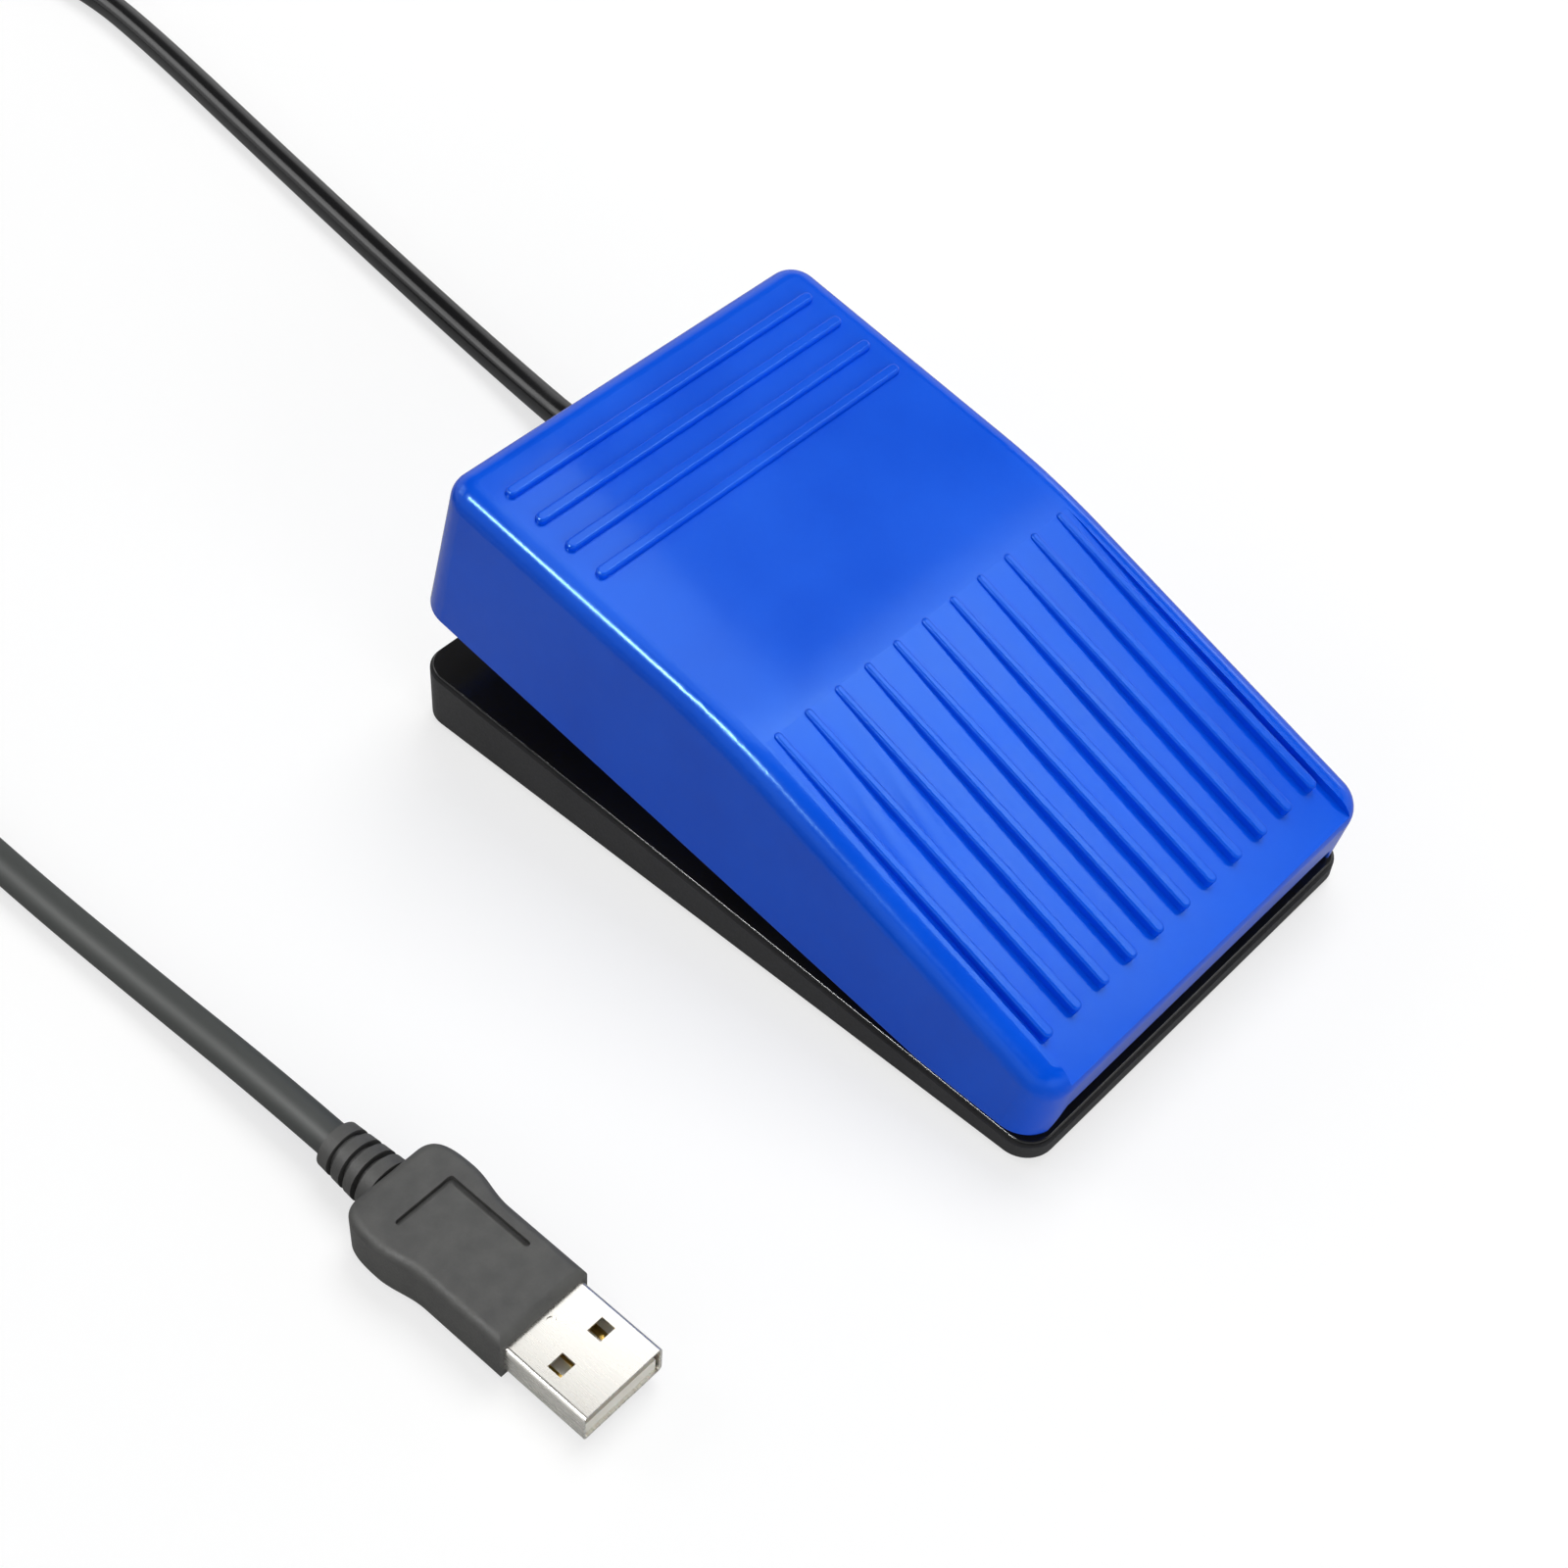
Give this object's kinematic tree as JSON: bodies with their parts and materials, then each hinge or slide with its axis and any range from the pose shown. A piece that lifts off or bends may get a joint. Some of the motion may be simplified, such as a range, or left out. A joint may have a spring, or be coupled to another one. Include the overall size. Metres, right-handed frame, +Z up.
{
  "type": "usb foot pedal switch",
  "caption": "Single foot switch with a blue ribbed treadle hinged on a black wedge base, with a cord and a type A plug.",
  "frame": {"origin": "middle of the pedal's own bounding box in plan, on the plane that the rubber feet stand on", "axes": "+Z up, +Y from the heel end to the toe end where the cord leaves, +X to the right seen from the heel"},
  "size_m": [0.1424, 0.3116, 0.0445],
  "materials": {
    "blue_plastic": "satin",
    "grey_plastic": "matte",
    "black_plastic": "gloss",
    "steel": "satin",
    "foot_rubber": "matte",
    "cord_jacket": "satin",
    "plug_grip": "matte",
    "board": "satin",
    "white_plastic": "satin",
    "contact_brass": "satin"
  },
  "bodies": {
    "base": {"base_tray": "grey_plastic", "top_plate": "black_plastic", "hinge_pin": "steel", "rubber_feet": "foot_rubber", "case_screws": "steel", "spring_left": "steel", "spring_right": "steel", "switch_body": "black_plastic", "switch_terminals": "contact_brass", "circuit_board": "board", "usb_controller": "black_plastic", "board_components": "black_plastic", "cable_header": "white_plastic", "board_screws": "steel", "cable_clamp": "steel", "clamp_screw": "steel", "cable_grommet": "cord_jacket", "switch_wires": "cord_jacket", "cable_wires": "cord_jacket", "cord_base_run": "cord_jacket", "cord_coil": "cord_jacket", "cord_plug_run": "cord_jacket", "plug_strain_relief": "plug_grip", "plug_overmould": "plug_grip", "plug_shell": "steel", "plug_tongue": "white_plastic", "plug_contacts": "contact_brass"},
    "treadle": {"pedal_cover": "blue_plastic"},
    "lever": {"switch_lever": "steel"},
    "plunger": {"switch_plunger": "white_plastic"}
  },
  "joints": [
    {"name": "treadle_hinge", "type": "hinge", "parent": "base", "child": "treadle", "pos_m": [0, -0.0381, 0.0099], "axis": [-1, 0, 0], "range_deg": [0, 6], "stiffness_Nm_per_rad": 0.6, "springref_deg": -5.73, "deforming": ["spring_left", "spring_right"]},
    {"name": "lever_pivot", "type": "hinge", "parent": "base", "child": "lever", "pos_m": [0, -0.0263, 0.01751], "axis": [-1, 0, 0], "range_deg": [0, 11.2]},
    {"name": "plunger_slide", "type": "slide", "parent": "base", "child": "plunger", "axis": [0, 0, -1], "range_m": [0, 0.0008]}
  ],
  "couplings": [
    {"joint": "lever_pivot", "follows": "treadle_hinge", "ratio": 1.85},
    {"joint": "plunger_slide", "follows": "treadle_hinge", "m_per_rad": 0.00754}
  ]
}
